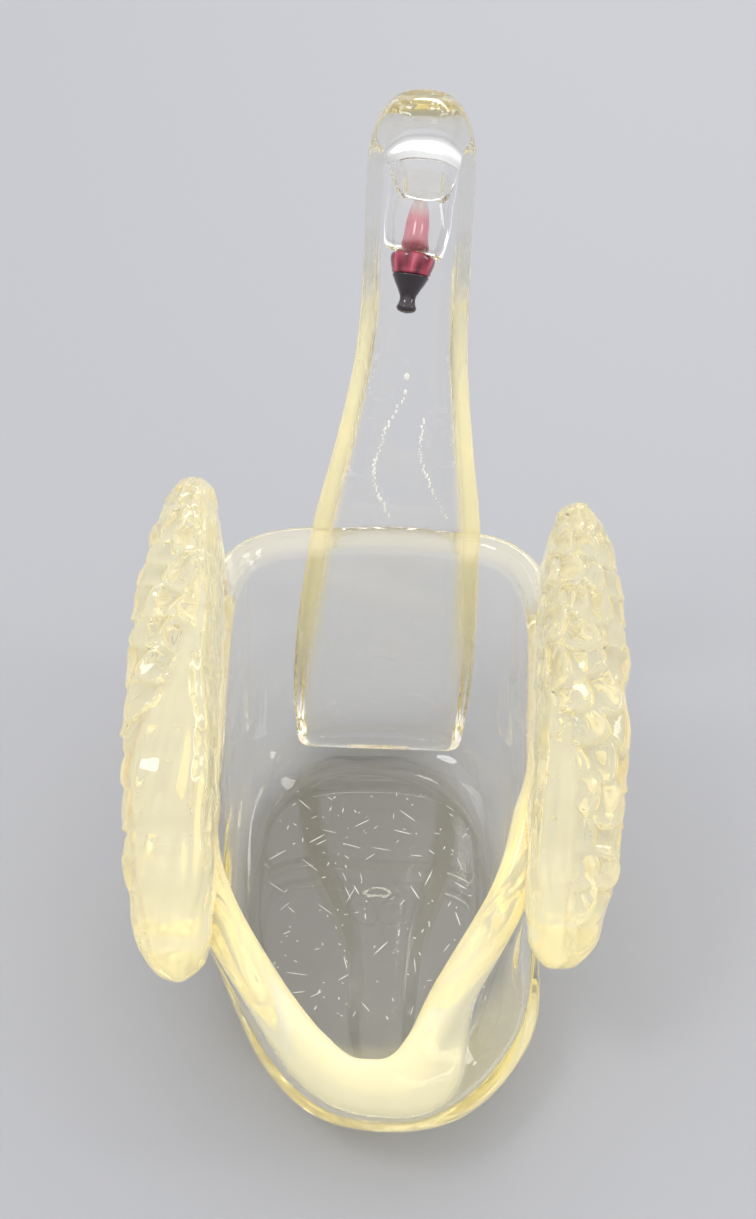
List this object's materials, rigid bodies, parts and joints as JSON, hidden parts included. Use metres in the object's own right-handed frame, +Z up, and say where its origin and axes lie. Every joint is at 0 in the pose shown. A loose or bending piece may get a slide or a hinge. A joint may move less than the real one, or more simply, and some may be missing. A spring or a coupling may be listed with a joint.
{
  "type": "swan-shaped glass bowl",
  "caption": "Open bowl of thick clear glass shaped as a swan, with a low tail lip, a hooked strap neck with a red and black head, and two feather-pressed wings.",
  "frame": {"origin": "centre of the flat base, on the surface the bowl stands on", "axes": "+Z up, +Y towards the swan's breast and neck, the tail lip points along -Y, +X to the swan's right"},
  "size_m": [0.1136, 0.1601, 0.1972],
  "materials": {
    "clear_glass": "fire-polished, faint straw tint",
    "red_glass": "fire-polished",
    "black_glass": "fire-polished"
  },
  "bodies": {
    "root": {"bowl": "clear_glass", "neck": "clear_glass", "head": "clear_glass", "head_core": "red_glass", "beak": "black_glass", "left_wing": "clear_glass", "right_wing": "clear_glass"}
  },
  "joints": []
}
